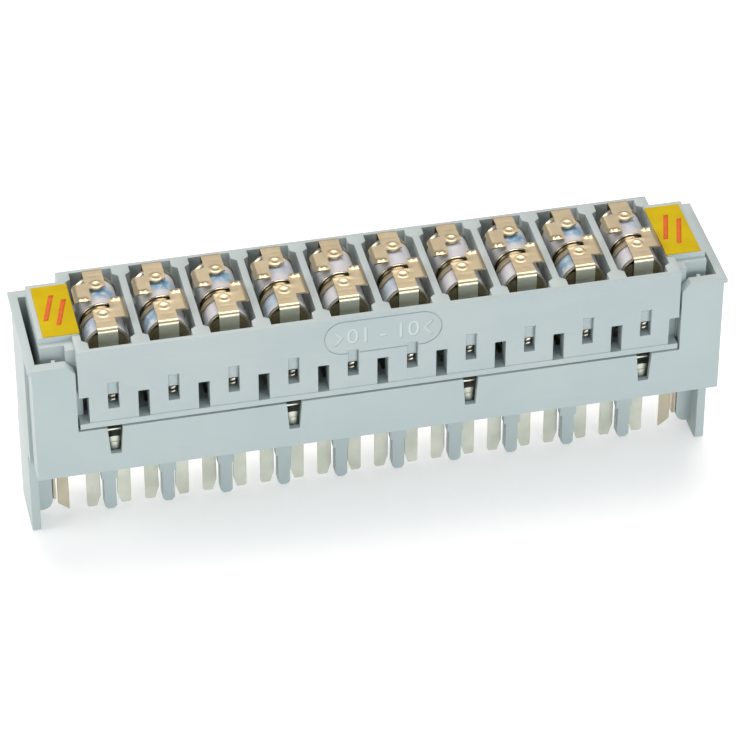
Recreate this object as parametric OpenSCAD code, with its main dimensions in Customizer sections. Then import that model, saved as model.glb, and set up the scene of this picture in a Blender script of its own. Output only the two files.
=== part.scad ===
// Surge arrester magazine for a ten-pair punch-down disconnection module.
// Frame: X runs along the row of pairs, -Y is the front with the raised marking
// field, +Z is up. The origin is under the middle, level with the leg tips.

/* [Row of pairs] */
// spacing from one pair to the next
pitch = 10.65; // [10.3:0.05:10.9]

/* [Housing] */
// width of an end post, from the opening to the skirt's end
post_w = 7.6; // [7:0.1:10]
// depth over the front and rear walls
depth = 24; // [23:0.5:28]
// height from the skirt's lower edge to the post tops
post_h = 24; // [22:0.5:28]
// height of the long front and rear sills
sill_h = 9.6; // [8:0.2:12]
// thickness of the front and rear walls
wall_t = 2; // [1.2:0.1:2.4]
// thickness of the end walls under the rim
end_t = 0.9; // [0.8:0.1:1.6]
// how far the rim and the end plates stand proud
rim_out = 0.65; // [0.3:0.05:1]
// height of the rim round the post tops
rim_h = 0.8; // [0.5:0.1:1.5]
// thickness of the floor plate
floor_t = 2; // [1.2:0.1:3]
// slant of the post edges beside the magazine
lead_in = 1.5; // [0.8:0.1:2]
// width of an inspection notch at its top
notch_w = 2.9; // [2:0.1:4]
// depth of an inspection notch
notch_h = 5.8; // [4:0.1:6]
// height of a rib below the skirt
rib_h = 17.3; // [14:0.1:17.6]
// width of a rib
rib_w = 2.2; // [1.6:0.05:2.4]
// width of an end leg, front to rear
leg_w = 12; // [8:0.2:13]
// height of an end leg below the skirt
leg_h = 18.2; // [18:0.1:22]
// height of the web beside an end leg
web_h = 16.3; // [12:0.1:17]
// thickness of the web beside an end leg
web_t = 2.8; // [1.5:0.1:4]
// depth of the web beside an end leg, front to rear
web_d = 2.8; // [2:0.1:4]
// thickness of the front and rear sills, thinner than the posts
sill_t = 1.1; // [0.9:0.1:1.8]

/* [Magazine] */
// clearance between the magazine and the housing opening, each end
slide_gap = 0.4; // [0.3:0.05:0.6]
// height of the magazine body above its flange
mag_h = 16.8; // [16:0.2:20]
// thickness of the magazine's front and rear walls at the top
mag_t = 0.75; // [0.6:0.05:1]
// thickness of a divider between two cells
divider_t = 1.25; // [0.8:0.05:1.6]
// width of the thickened divider ends
divider_end_w = 3.15; // [2:0.05:4]
// width of the windows and slots in the magazine walls
window_w = 2; // [1.6:0.05:2.6]
// length of the raised marking field
field_l = 21.3; // [12:0.1:30]
// height of the raised marking field
field_h = 7.2; // [5:0.1:7.4]
// gap between an end shoulder and the end wall
ear_gap = 1.3; // [0.8:0.1:2]
// depth of an end shoulder, front to rear
ear_d = 16.8; // [14:0.2:17.4]

/* [Arresters] */
// radius of the metal electrodes
electrode_r = 4; // [3:0.05:4.2]
// how far the ceramic stands back from the electrodes
ceramic_inset = 0.25; // [0.1:0.05:0.5]
// overall length of an arrester
arrester_l = 15.7; // [13:0.1:16]
// width of the middle electrode
ring_w = 2.2; // [1.4:0.1:3]
// thickness of an end electrode
cap_t = 0.75; // [0.4:0.05:1.2]

/* [Spring clips] */
// thickness of the clip's spring sheet
clip_t = 0.4; // [0.3:0.05:0.5]
// width of the front and rear strips
strip_w = 3.5; // [2.4:0.1:4]
// how far the side tabs reach from the clip's middle
tab_x = 4.2; // [3:0.1:4.3]
// length of a side tab
tab_l = 6.1; // [4.6:0.1:6.2]
// height of the folded legs
fold_h = 6; // [3:0.1:6.4]
// how much further the clip reaches at the rear than at the front
rear_reach = 0.7; // [0:0.1:0.9]

/* [Contacts] */
// thickness of the contact sheet
contact_t = 0.5; // [0.3:0.05:0.6]
// width of a contact tongue
tongue_w = 2.5; // [1.6:0.05:2.6]
// height of a contact tongue below the skirt
tongue_h = 17.8; // [14:0.1:17.9]
// gap between the two tongues of a pair
tongue_gap = 3.1; // [2.8:0.05:3.4]
// thickness of the earth rail's sheet
rail_t = 0.4; // [0.3:0.05:0.6]
// bending radius of the earth rail's front tabs
rail_r = 2; // [1.6:0.1:2.6]

/* [Labels] */
// width of a label
label_w = 6.4; // [5:0.1:6.6]
// length of a label, front to rear
label_l = 14.6; // [10:0.1:16]
// thickness of a label
label_t = 0.25; // [0.15:0.05:0.4]

/* [Hidden] */
$fn = 64;
// ten pairs: each cell has its own nodes in the list below
pairs = 10;
row_l = pairs * pitch;
mag_l = row_l + 1.5;
seat_z = leg_h;
flange_z = sill_h + 0.45;
mag_top = flange_z + mag_h;
step_z = flange_z + 6.65;
open_l = mag_l + 2 * slide_gap;
housing_l = open_l + 2 * post_w;
end_in = housing_l / 2 - end_t;
plate_x = housing_l / 2 + rim_out;
leg_t = plate_x - end_in;
axis_z = mag_top - 2.65;
clip_z = axis_z + electrode_r;
cell_w = pitch - divider_t;
tray_z = axis_z - electrode_r + 0.9;
window_z = flange_z + 3.7;
window_h = 4.1;
ear_x = end_in - ear_gap;
ear_y0 = wall_t + 2 - depth / 2;
ear_y1 = ear_y0 + ear_d;
ear_top = mag_top + 0.25;
ear_step_y = wall_t + 0.3 - depth / 2;
ear_step_x = mag_l / 2 + 1.6;
ledge = 1.1;
contact_y = 0.45;
strip_x = end_in - web_t - 0.15 - contact_t;
riser_w = 2.2;
riser_y = arrester_l / 2;
floor_z = 1 + floor_t;
rail_y = -depth / 2 + sill_t + 0.15;
rail_h = 2.3;
web_y = -0.4;
tongue_in = tongue_gap / 2;
leg_y = 2;
shelf_z = flange_z + 1.9;
fold_y = riser_y + 1;
strip_h = 14.8;
neck = 2.1;
tab_y0 = 0.35;
stem_y = depth / 2 - mag_t - divider_t * 2;
nub_x = ear_x - rim_out * 3;
nub_w = rim_out;
nub_h = mag_t * 2;
tab_r = rail_h * 0.6;
slot_d = 2.8;
cuts = 0.05;

function pair_x(i) = (i - (pairs + 1) / 2) * pitch;

// a box given by its two X, two Y and two Z limits
module block(x0, x1, y0, y1, z0, z1) {
    translate([x0, y0, z0])
        cube([x1 - x0, y1 - y0, z1 - z0]);
}

// the same box at both ends of the row
module both_ends(x0, x1, y0, y1, z0, z1) {
    block(x0, x1, y0, y1, z0, z1);
    block(-x1, -x0, y0, y1, z0, z1);
}

// ---------- housing ----------

module post_edges() {
    // slanted post edges that guide the magazine in
    for (side = [-1, 1])
        scale([side, 1, 1])
            translate([0, depth / 2 + 1, 0])
                rotate([90, 0, 0])
                    linear_extrude(depth + 2)
                        polygon([
                            [open_l / 2 - 1, post_h - lead_in * 1.1],
                            [open_l / 2, post_h - lead_in * 1.1],
                            [open_l / 2 + lead_in, post_h],
                            [open_l / 2 + lead_in, post_h + 1],
                            [open_l / 2 - 1, post_h + 1]
                        ]);
}

module notch(x) {
    // tapered inspection notch through the front sill
    translate([x, -depth / 2 + sill_t + cuts, 0])
        rotate([90, 0, 0])
            linear_extrude(sill_t + 2 * cuts)
                polygon([
                    [-notch_w / 2 + 0.5, sill_h - notch_h],
                    [notch_w / 2 - 0.5, sill_h - notch_h],
                    [notch_w / 2, sill_h + 1],
                    [-notch_w / 2, sill_h + 1]
                ]);
}

module rib(x) {
    // comb rib with a wide root and a chamfered tip
    translate([x, 0.9, 0])
        rotate([90, 0, 0])
            linear_extrude(2.3)
                polygon([
                    [-rib_w / 2, cuts], [-rib_w / 2, 0.6 - rib_h],
                    [-rib_w / 2 + 0.5, -rib_h], [rib_w / 2 - 0.5, -rib_h],
                    [rib_w / 2, 0.6 - rib_h], [rib_w / 2, cuts]
                ]);
    block(x - rib_w / 2 - 0.4, x + rib_w / 2 + 0.4, -1.4, 0.2, -10.5, cuts);
}

module leg(side) {
    // end leg with chamfered tip, and the web beside it with a rounded corner
    scale([side, 1, 1]) {
        translate([end_in, leg_y, 0])
            rotate([90, 0, 90])
                linear_extrude(leg_t)
                    polygon([
                        [-leg_w / 2, 1], [-leg_w / 2, 0.6 - leg_h],
                        [0.6 - leg_w / 2, -leg_h], [leg_w / 2 - 0.6, -leg_h],
                        [leg_w / 2, 0.6 - leg_h], [leg_w / 2, 1]
                    ]);
        translate([0, web_y + web_d, 0])
            rotate([90, 0, 0])
                linear_extrude(web_d) {
                    translate([end_in - web_t, 2 - web_h])
                        square([web_t + 0.2, web_h - 2 + floor_z]);
                    translate([end_in - web_t + 2, -web_h])
                        square([web_t - 1.8, web_h]);
                    translate([end_in - web_t + 2, 2 - web_h])
                        circle(r = 2);
                }
    }
}

module housing() {
    color([0.72, 0.77, 0.78])
    translate([0, 0, seat_z]) {
        difference() {
            union() {
                block(-housing_l / 2, housing_l / 2, -depth / 2, depth / 2, 0, post_h);
                // end plates and the rim over the front corners
                both_ends(end_in, plate_x, -depth / 2 + 5, depth / 2 - 5, 0, post_h);
                both_ends(end_in, plate_x, -depth / 2, depth / 2, post_h - rim_h, post_h);
            }
            // inside, above the floor
            block(-end_in, end_in, -depth / 2 + wall_t, depth / 2 - wall_t, floor_z, post_h + 1);
            // thinner sills between the posts
            block(-open_l / 2, open_l / 2, -depth / 2 + sill_t, depth / 2 - sill_t, floor_z, post_h + 1);
            // hollow skirt under the floor
            block(-end_in, end_in, -depth / 2 + wall_t, depth / 2 - wall_t, -1, 1);
            // the wide openings over the two sills
            block(-open_l / 2, open_l / 2, -depth, depth, sill_h, post_h + 1);
            post_edges();
            for (i = [1 : 3 : pairs])
                notch(pair_x(i));
            // slots for the contact tongues
            for (i = [1 : pairs], side = [-1, 1])
                translate([pair_x(i) + side * (tongue_in + tongue_w / 2), 0, 0])
                    block(-tongue_w / 2 - 0.15, tongue_w / 2 + 0.15,
                        contact_y - 0.15, contact_y + contact_t + 0.15, 0, floor_z + 1);
            both_ends(row_l / 2 + 1.75, row_l / 2 + 4.2,
                contact_y - 0.15, contact_y + contact_t + 0.15, 0, floor_z + 1);
            // slots for the earth strips beside the webs
            both_ends(strip_x - 0.1, strip_x + contact_t + 0.1,
                web_y - 0.1, web_y + web_d + 0.1, 0, floor_z + 1);
        }
        // ribs hang from the floor between the tongues of each pair
        for (i = [1 : pairs])
            rib(pair_x(i));
        for (i = [1 : pairs])
            block(pair_x(i) - rib_w / 2, pair_x(i) + rib_w / 2, -1.4, 0.9, 0, 1.5);
        leg(1);
        leg(-1);
        // snap nubs behind the post tops
        for (side = [-1, 1], face = [-1, 1])
            scale([side, face, 1])
                block(nub_x - nub_w / 2, nub_x + nub_w / 2, -depth / 2 + wall_t - 0.1,
                    -depth / 2 + wall_t + nub_w, post_h - nub_h, post_h);
    }
}

// ---------- magazine ----------

module stadium(l, h, t) {
    // flat bar with round ends, standing on the front face
    rotate([90, 0, 0])
        linear_extrude(t) {
            square([l - h, h], center = true);
            for (side = [-1, 1])
                translate([side * (l - h) / 2, 0])
                    circle(d = h);
        }
}

module window_cut(x) {
    // window with a slanted recess above it
    translate([x - window_w / 2, -depth / 2, 0])
        rotate([90, 0, 90])
            linear_extrude(window_w)
                polygon([
                    [-cuts, window_z], [depth / 2 - riser_y + 0.4, window_z],
                    [depth / 2 - riser_y + 0.4, window_z + window_h],
                    [mag_t + 0.9, window_z + window_h],
                    [-cuts, window_z + window_h + 1.75]
                ]);
}

module divider_cut(x) {
    // open slot under a divider, widening into a pocket behind the wall
    block(x - window_w / 2, x + window_w / 2, -depth / 2 - cuts, -depth / 2 + slot_d + cuts,
        flange_z + 1.1, step_z + 0.2);
    block(max(x - 3, -mag_l / 2 + 1), min(x + 3, mag_l / 2 - 1), -depth / 2 + slot_d,
        -1.2, flange_z + 0.9, step_z + 0.7);
}

module cell_space() {
    // open cell: full width between the divider ends, tapering to the stems
    linear_extrude(30)
        polygon([
            [-pitch / 2 + divider_end_w / 2, -depth / 2 + mag_t],
            [pitch / 2 - divider_end_w / 2, -depth / 2 + mag_t],
            [pitch / 2 - divider_end_w / 2, -stem_y - 0.7],
            [cell_w / 2, -stem_y], [cell_w / 2, stem_y],
            [pitch / 2 - divider_end_w / 2, stem_y + 0.7],
            [pitch / 2 - divider_end_w / 2, depth / 2 - mag_t],
            [divider_end_w / 2 - pitch / 2, depth / 2 - mag_t],
            [divider_end_w / 2 - pitch / 2, stem_y + 0.7],
            [-cell_w / 2, stem_y], [-cell_w / 2, -stem_y],
            [divider_end_w / 2 - pitch / 2, -stem_y - 0.7]
        ]);
}

module ear(side) {
    // hollow shoulder beside the last cell, stepped back from the front wall
    scale([side, 1, 1])
        difference() {
            union() {
                block(mag_l / 2 - 1.2, ear_x, ear_y0 + ledge, ear_y1, flange_z + 1, ear_top);
                block(ear_step_x - cuts, ear_x, ear_y0, ear_y0 + 2, flange_z + 1, ear_top - 1.2);
                block(mag_l / 2 - 1.2, ear_step_x, ear_step_y, ear_y0 + 2, flange_z + 1,
                    ear_top - 1.2);
            }
            block(mag_l / 2 + 1, ear_x - 1, ear_y0 + ledge + 1, ear_y1 - 1, 0, ear_top - 1.2);
        }
}

module magazine() {
    color([0.76, 0.78, 0.77])
    translate([0, 0, seat_z]) {
        difference() {
            union() {
                block(-mag_l / 2, mag_l / 2, -depth / 2, depth / 2, flange_z, mag_top);
                ear(1);
                ear(-1);
            }
            for (i = [1 : pairs])
                translate([pair_x(i), 0, 0]) {
                    // open cell above the tray
                    translate([0, 0, tray_z])
                        cell_space();
                    // round seat for the arrester
                    translate([0, 0, axis_z])
                        rotate([90, 0, 0])
                            cylinder(r = electrode_r + 0.02, h = arrester_l + 0.4, center = true);
                    // contact chamber under the tray
                    block(-cell_w / 2 + 0.2, cell_w / 2 - 0.2, 0.3 - riser_y,
                        riser_y - 0.3, 0, window_z + window_h);
                    // ways up for the contact springs and the earth spring
                    block(-riser_w / 2 - 0.3, riser_w / 2 + 0.3, -riser_y - 0.75,
                        -riser_y + 0.1, 0, 40);
                    block(-riser_w / 2 - 0.3, riser_w / 2 + 0.3, riser_y - 0.1,
                        riser_y + 0.75, 0, 40);
                    block(-1.3, 1.3, -0.6, 0.4, 0, 22);
                    // room for the clip's folded legs
                    block(-strip_w / 2 - 0.3, strip_w / 2 + 0.3, -fold_y - 0.3,
                        -fold_y + clip_t + 0.2, clip_z - fold_h - 0.3, 40);
                    block(-strip_w / 2 - 0.3, strip_w / 2 + 0.3, fold_y - clip_t - 0.2,
                        fold_y + rear_reach + 0.3, clip_z - fold_h - 0.3, 40);
                    for (face = [0, 180])
                        rotate([0, 0, face])
                            window_cut(0);
                }
            for (i = [0 : pairs], face = [0, 180])
                rotate([0, 0, face])
                    divider_cut((i - pairs / 2) * pitch);
            // shallow step under the upper part of the long walls
            for (face = [-1, 1])
                scale([1, face, 1])
                    block(-mag_l, mag_l, -depth / 2 - 1, -depth / 2 + 0.15, flange_z + 1.15, step_z);
            // thin groove round the marking field
            translate([0, -depth / 2 + 0.2, mag_top - 0.9 - field_h / 2])
                difference() {
                    stadium(field_l, field_h, 1);
                    translate([0, 0.5, 0])
                        stadium(field_l - 0.5, field_h - 0.5, 2);
                }
        }
    }
}

// ---------- arresters ----------

module ceramic(i) {
    // two ceramic tubes, one each side of the middle electrode
    tube_l = (arrester_l - ring_w) / 2 - cap_t;
    color([0.86, 0.84, 0.86])
    translate([pair_x(i), 0, seat_z + axis_z])
        for (side = [-1, 1])
            translate([0, side * (ring_w + tube_l) / 2, 0])
                rotate([90, 0, 0])
                    cylinder(r = electrode_r - ceramic_inset, h = tube_l, center = true);
}

module electrodes(i) {
    // end caps and middle ring
    color([0.78, 0.76, 0.66])
    translate([pair_x(i), 0, seat_z + axis_z])
        rotate([90, 0, 0]) {
            cylinder(r = electrode_r, h = ring_w, center = true);
            for (side = [-1, 1])
                translate([0, 0, side * (arrester_l - cap_t) / 2])
                    cylinder(r = electrode_r, h = cap_t, center = true);
        }
}

// ---------- spring clips ----------

module clip_half(fold) {
    // strip, neck and side tab, with the strip folded down at its outer end
    difference() {
        linear_extrude(clip_t)
            polygon([
                [-strip_w / 2, -fold], [strip_w / 2, -fold],
                [strip_w / 2, tab_y0 - tab_l], [tab_x - 0.7, tab_y0 - tab_l],
                [tab_x, tab_y0 - tab_l + 0.7], [tab_x, tab_y0 - 0.7],
                [tab_x - 0.7, tab_y0], [strip_w / 2, tab_y0],
                [strip_w / 2, tab_y0 - tab_l + neck], [-strip_w / 2, tab_y0 - tab_l + neck]
            ]);
        // round dimple in the strip's inner end
        translate([0, tab_y0 - tab_l + neck - 1, clip_t - 0.12])
            cylinder(d = 1.5, h = 1);
    }
    block(-strip_w / 2, strip_w / 2, -fold, -fold + clip_t, -fold_h, clip_t);
    // curled outer edge of the tab
    block(tab_x - clip_t, tab_x, tab_y0 - tab_l + 0.8, tab_y0 - 0.8, -1.1, clip_t);
    // two raised pips at the tab's inner end
    for (p = [0.7, 1.7])
        translate([tab_x - p, tab_y0 - 0.55, clip_t])
            cylinder(d = 0.7, h = 0.25, $fn = 24);
}

module clip(i) {
    color([0.76, 0.7, 0.53])
    translate([pair_x(i), 0, seat_z + clip_z + 0.02]) {
        clip_half(fold_y);
        rotate([0, 0, 180])
            clip_half(fold_y + rear_reach);
        // arched band over the middle electrode
        translate([0, 0.65, 0])
            rotate([90, 0, 0])
                linear_extrude(1.3)
                    polygon([
                        [-strip_w / 2 - 0.1, 0], [strip_w / 2 + 0.1, 0],
                        [strip_w / 2 + 0.1, clip_t], [strip_w / 4, clip_t + 0.25],
                        [-strip_w / 4, clip_t + 0.25], [-strip_w / 2 - 0.1, clip_t]
                    ]);
    }
}

// ---------- contacts ----------

module contact() {
    // tongue, shelf and riser of one contact spring, bent from one strip
    reach = riser_y + 0.02;
    translate([0, contact_y + contact_t, 0])
        rotate([90, 0, 0])
            linear_extrude(contact_t)
                polygon([
                    [-tongue_in, shelf_z + contact_t], [-tongue_in, 2.4 - tongue_h],
                    [-tongue_in - 0.7, -tongue_h],
                    [-tongue_in - tongue_w + 0.3, -tongue_h],
                    [-tongue_in - tongue_w, 0.4 - tongue_h],
                    [-tongue_in - tongue_w, shelf_z + contact_t]
                ]);
    block(-tongue_in - tongue_w, -tongue_in, 0.5 - reach, contact_y + contact_t,
        shelf_z, shelf_z + contact_t);
    block(-tongue_in - cuts, riser_w / 2, 0.5 - reach, 2.5 - reach,
        shelf_z, shelf_z + contact_t);
    block(-riser_w / 2, riser_w / 2, -reach - contact_t, 0.5 - reach + cuts,
        shelf_z, shelf_z + contact_t);
    block(-riser_w / 2, riser_w / 2, -reach - contact_t, -reach, shelf_z,
        axis_z - electrode_r * 0.4);
}

module contact_rear() {
    // the same spring for the rear electrode, bent the other way
    reach = riser_y + 0.02;
    translate([0, contact_y + contact_t, 0])
        rotate([90, 0, 0])
            linear_extrude(contact_t)
                polygon([
                    [tongue_in, shelf_z + contact_t], [tongue_in, 2.4 - tongue_h],
                    [tongue_in + 0.7, -tongue_h],
                    [tongue_in + tongue_w - 0.3, -tongue_h],
                    [tongue_in + tongue_w, 0.4 - tongue_h],
                    [tongue_in + tongue_w, shelf_z + contact_t]
                ]);
    block(tongue_in, tongue_in + tongue_w, contact_y, reach - 0.5,
        shelf_z, shelf_z + contact_t);
    block(-riser_w / 2, tongue_in + cuts, reach - 2.5, reach - 0.5,
        shelf_z, shelf_z + contact_t);
    block(-riser_w / 2, riser_w / 2, reach - 0.5 - cuts, reach + contact_t,
        shelf_z, shelf_z + contact_t);
    block(-riser_w / 2, riser_w / 2, reach, reach + contact_t, shelf_z,
        axis_z - electrode_r * 0.4);
}

module contacts(i) {
    color([0.84, 0.84, 0.78])
    translate([pair_x(i), 0, seat_z]) {
        contact();
        contact_rear();
    }
}

module end_contact(side) {
    // earth tongue beside the last pair, joined over the floor to a strip beside the web
    color([0.8, 0.72, 0.58])
    translate([0, 0, seat_z])
        scale([side, 1, 1]) {
            translate([0, contact_y + contact_t, 0])
                rotate([90, 0, 0])
                    linear_extrude(contact_t)
                        polygon([
                            [row_l / 2 + 1.95, floor_z + contact_t],
                            [row_l / 2 + 1.95, 0.2 - tongue_h],
                            [row_l / 2 + 4, 1.8 - tongue_h],
                            [row_l / 2 + 4, floor_z + contact_t]
                        ]);
            block(row_l / 2 + 1.95, strip_x + contact_t, contact_y, web_y + web_d,
                floor_z + 0.02, floor_z + contact_t);
            translate([strip_x, 0, 0])
                rotate([90, 0, 90])
                    linear_extrude(contact_t)
                        polygon([
                            [web_y, floor_z + contact_t], [web_y, 0.8 - strip_h],
                            [web_y + 0.8, -strip_h], [web_y + web_d - 0.8, -strip_h],
                            [web_y + web_d, 0.8 - strip_h], [web_y + web_d, floor_z + contact_t]
                        ]);
        }
}

module rail_tab(x) {
    // curved tab that stands up behind an inspection notch, with rounded top corners
    intersection() {
        difference() {
            translate([x, rail_y + rail_r, floor_z + 0.02])
                cylinder(r = rail_r, h = rail_h);
            translate([x, rail_y + rail_r, floor_z + 0.02])
                cylinder(r = rail_r - rail_t, h = rail_h + 1);
        }
        translate([x, rail_y + rail_r - 0.6, floor_z + rail_h / 2])
            rotate([90, 0, 0]) {
                cylinder(r = tab_r, h = 2 * rail_r);
                translate([-tab_r, -rail_h, 0])
                    cube([2 * tab_r, rail_h, 2 * rail_r]);
            }
    }
    block(x - tab_r, x + tab_r, rail_y + rail_r - 1.1, rail_y + rail_r + 1,
        floor_z + 0.02, floor_z + 0.02 + rail_t);
}

module earth_rail() {
    // channel rail behind the front sill: foot on the floor, upper flange with one spring
    // up to each middle electrode, and tabs behind the notches
    foot = floor_z + 0.02;
    top = foot + rail_h - 0.1;
    back = -4;
    color([0.8, 0.81, 0.78])
    translate([0, 0, seat_z]) {
        for (i = [1 : 3 : pairs])
            rail_tab(pair_x(i));
        block(-row_l / 2 - 1, row_l / 2 + 1, rail_y + rail_r - 0.2, back + rail_t, foot, foot + rail_t);
        block(-row_l / 2 - 1, row_l / 2 + 1, back, back + rail_t, foot, top);
        block(-row_l / 2 - 1, row_l / 2 + 1, rail_y + 1.2, back + rail_t, top - rail_t, top);
        for (i = [1 : pairs]) {
            block(pair_x(i) - 1, pair_x(i) + 1, back, -0.35 + rail_t, top - rail_t, top);
            block(pair_x(i) - 1, pair_x(i) + 1, -0.35, -0.35 + rail_t, top - rail_t,
                axis_z - electrode_r);
        }
    }
}

// ---------- labels ----------

module label(side) {
    color([0.86, 0.74, 0.05])
    translate([side * (ear_x - 0.8 - label_w / 2), ear_y0 + ledge + label_l / 2, seat_z + ear_top])
        linear_extrude(label_t)
            square([label_w, label_l], center = true);
}

housing();
magazine();
label(-1);  // label_left
label(1);  // label_right
earth_rail();
end_contact(-1);  // end_contact_left
end_contact(1);  // end_contact_right
ceramic(1);  // ceramic_01
ceramic(2);  // ceramic_02
ceramic(3);  // ceramic_03
ceramic(4);  // ceramic_04
ceramic(5);  // ceramic_05
ceramic(6);  // ceramic_06
ceramic(7);  // ceramic_07
ceramic(8);  // ceramic_08
ceramic(9);  // ceramic_09
ceramic(10);  // ceramic_10
electrodes(1);  // electrodes_01
electrodes(2);  // electrodes_02
electrodes(3);  // electrodes_03
electrodes(4);  // electrodes_04
electrodes(5);  // electrodes_05
electrodes(6);  // electrodes_06
electrodes(7);  // electrodes_07
electrodes(8);  // electrodes_08
electrodes(9);  // electrodes_09
electrodes(10);  // electrodes_10
clip(1);  // clip_01
clip(2);  // clip_02
clip(3);  // clip_03
clip(4);  // clip_04
clip(5);  // clip_05
clip(6);  // clip_06
clip(7);  // clip_07
clip(8);  // clip_08
clip(9);  // clip_09
clip(10);  // clip_10
contacts(1);  // contacts_01
contacts(2);  // contacts_02
contacts(3);  // contacts_03
contacts(4);  // contacts_04
contacts(5);  // contacts_05
contacts(6);  // contacts_06
contacts(7);  // contacts_07
contacts(8);  // contacts_08
contacts(9);  // contacts_09
contacts(10);  // contacts_10
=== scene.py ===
# %% [markdown]
# # Surge arrester magazine
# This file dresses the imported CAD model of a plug-in magazine that protects ten telephone
# pairs. It opens with the frame: every CAD node is fixed, and every new piece is placed from
# the boxes of those nodes, so nothing here changes a size. Lengths are in millimetres, apart
# from the camera and the lamps, which are in metres.

# %% Frame
import math

import bmesh
import bpy
import numpy as np
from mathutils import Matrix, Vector


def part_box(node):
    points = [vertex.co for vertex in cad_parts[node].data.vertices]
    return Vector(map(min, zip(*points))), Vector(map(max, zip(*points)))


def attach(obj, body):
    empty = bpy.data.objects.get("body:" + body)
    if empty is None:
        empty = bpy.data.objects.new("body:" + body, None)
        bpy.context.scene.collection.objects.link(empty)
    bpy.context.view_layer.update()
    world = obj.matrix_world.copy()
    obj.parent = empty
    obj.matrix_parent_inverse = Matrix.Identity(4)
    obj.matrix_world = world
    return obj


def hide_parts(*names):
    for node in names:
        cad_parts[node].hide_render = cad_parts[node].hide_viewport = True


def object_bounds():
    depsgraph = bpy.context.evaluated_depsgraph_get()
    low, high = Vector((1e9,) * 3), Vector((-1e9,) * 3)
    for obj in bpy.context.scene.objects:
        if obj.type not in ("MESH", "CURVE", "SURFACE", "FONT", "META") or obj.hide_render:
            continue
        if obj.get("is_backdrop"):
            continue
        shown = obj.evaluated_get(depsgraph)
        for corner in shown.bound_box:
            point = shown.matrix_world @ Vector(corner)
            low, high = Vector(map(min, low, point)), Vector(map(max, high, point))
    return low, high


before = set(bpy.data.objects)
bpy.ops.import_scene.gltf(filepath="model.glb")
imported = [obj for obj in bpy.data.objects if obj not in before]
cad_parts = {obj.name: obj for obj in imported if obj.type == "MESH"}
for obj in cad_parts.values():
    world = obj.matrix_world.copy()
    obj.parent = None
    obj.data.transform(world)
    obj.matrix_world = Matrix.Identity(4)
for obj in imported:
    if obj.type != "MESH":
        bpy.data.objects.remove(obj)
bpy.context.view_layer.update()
MM = 0.001
PAIRS = [f"{i:02d}" for i in range(1, 11)]


def span(node):
    """Low and high corner of a CAD node in millimetres, as two numpy arrays."""
    low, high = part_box(node)
    return np.array(low) / MM, np.array(high) / MM


def centre_x(node):
    """Middle of a CAD node along the row, in millimetres."""
    low, high = span(node)
    return (low[0] + high[0]) / 2


# %% [markdown]
# ## Camera
# The view is a long-lens studio shot from the front left, looking down on the row. A long
# lens keeps the parallel edges of the row nearly parallel. The Standard view transform shows
# a colour as it is written, where the default one would grey it.

# %% Camera
LENS_MM, SENSOR_MM = 191.14, 36.0
CAMERA_PLACE = (-0.12144, -0.54356, 0.45147)
VIEW_DIRECTION = (0.17288, 0.77409, -0.60901)
ROW_MIDDLE = (0, 0, 0.03)
camera_data = bpy.data.cameras.new("camera")
camera_data.lens = LENS_MM
camera_data.sensor_width = SENSOR_MM
camera_data.clip_start, camera_data.clip_end = 0.05, 20.0
camera = bpy.data.objects.new("camera", camera_data)
bpy.context.scene.collection.objects.link(camera)
camera.location = CAMERA_PLACE
camera.rotation_mode = "QUATERNION"
camera.rotation_quaternion = Vector(VIEW_DIRECTION).to_track_quat("-Z", "Y")
bpy.context.scene.camera = camera
bpy.context.scene.view_settings.view_transform = "Standard"
print("camera distance in mm:", round((Vector(ROW_MIDDLE) - camera.location).length / MM))


# %% [markdown]
# ## Surround
# An even, slightly cool surround fills the shadows. It is weak on the object, and white only
# where the camera sees it directly, so the background is white without more light on the
# plastic.

# %% Surround
SURROUND_COLOUR, SURROUND_STRENGTH = (0.93, 0.96, 1.0, 1), 0.34
world = bpy.data.worlds.new("surround")
bpy.context.scene.world = world
world.use_nodes = True
wt = world.node_tree
wt.nodes.clear()


def background(colour, strength):
    """A Background shader of the surround with one colour and one strength."""
    shader = wt.nodes.new("ShaderNodeBackground")
    shader.inputs["Color"].default_value = colour
    shader.inputs["Strength"].default_value = strength
    return shader.outputs["Background"]


w_out = wt.nodes.new("ShaderNodeOutputWorld")
w_mix = wt.nodes.new("ShaderNodeMixShader")
w_path = wt.nodes.new("ShaderNodeLightPath")
wt.links.new(w_path.outputs["Is Camera Ray"], w_mix.inputs["Fac"])
wt.links.new(background(SURROUND_COLOUR, SURROUND_STRENGTH), w_mix.inputs[1])
wt.links.new(background((1, 1, 1, 1), 1.0), w_mix.inputs[2])
wt.links.new(w_mix.outputs["Shader"], w_out.inputs["Surface"])
print("surround strength on the object:", SURROUND_STRENGTH)


# %% [markdown]
# ## Lamps
# Three broad soft lamps: one at the left, which makes the end wall the brightest face, a warm
# one above and a little behind for the tops, and a cool low one in front for the long wall.
# They stay at a level where a colour renders as written.

# %% Lamps
# Name, place, point it faces, side, power in watts and colour.
LAMPS = (
    ("lamp_left", (-0.85, -0.05, 0.45), ROW_MIDDLE, 0.7, 4.4, (1.0, 0.985, 0.96)),
    ("lamp_top", (0.1, 0.35, 1.0), ROW_MIDDLE, 0.7, 6.2, (1.0, 0.93, 0.86)),
    ("lamp_front", (0.35, -1.0, 0.08), (0, 0, 0.02), 0.8, 7.4, (0.9, 0.98, 1.0)),
)


def soft_lamp(name, place, aim, side, power, colour):
    """A square area lamp at place, turned to face aim; all lengths in metres."""
    data = bpy.data.lights.new(name, "AREA")
    data.shape = "SQUARE"
    data.size = side
    data.energy = power
    data.color = colour
    lamp = bpy.data.objects.new(name, data)
    bpy.context.scene.collection.objects.link(lamp)
    lamp.location = place
    lamp.rotation_mode = "QUATERNION"
    lamp.rotation_quaternion = (Vector(aim) - Vector(place)).to_track_quat("-Z", "Y")


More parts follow.
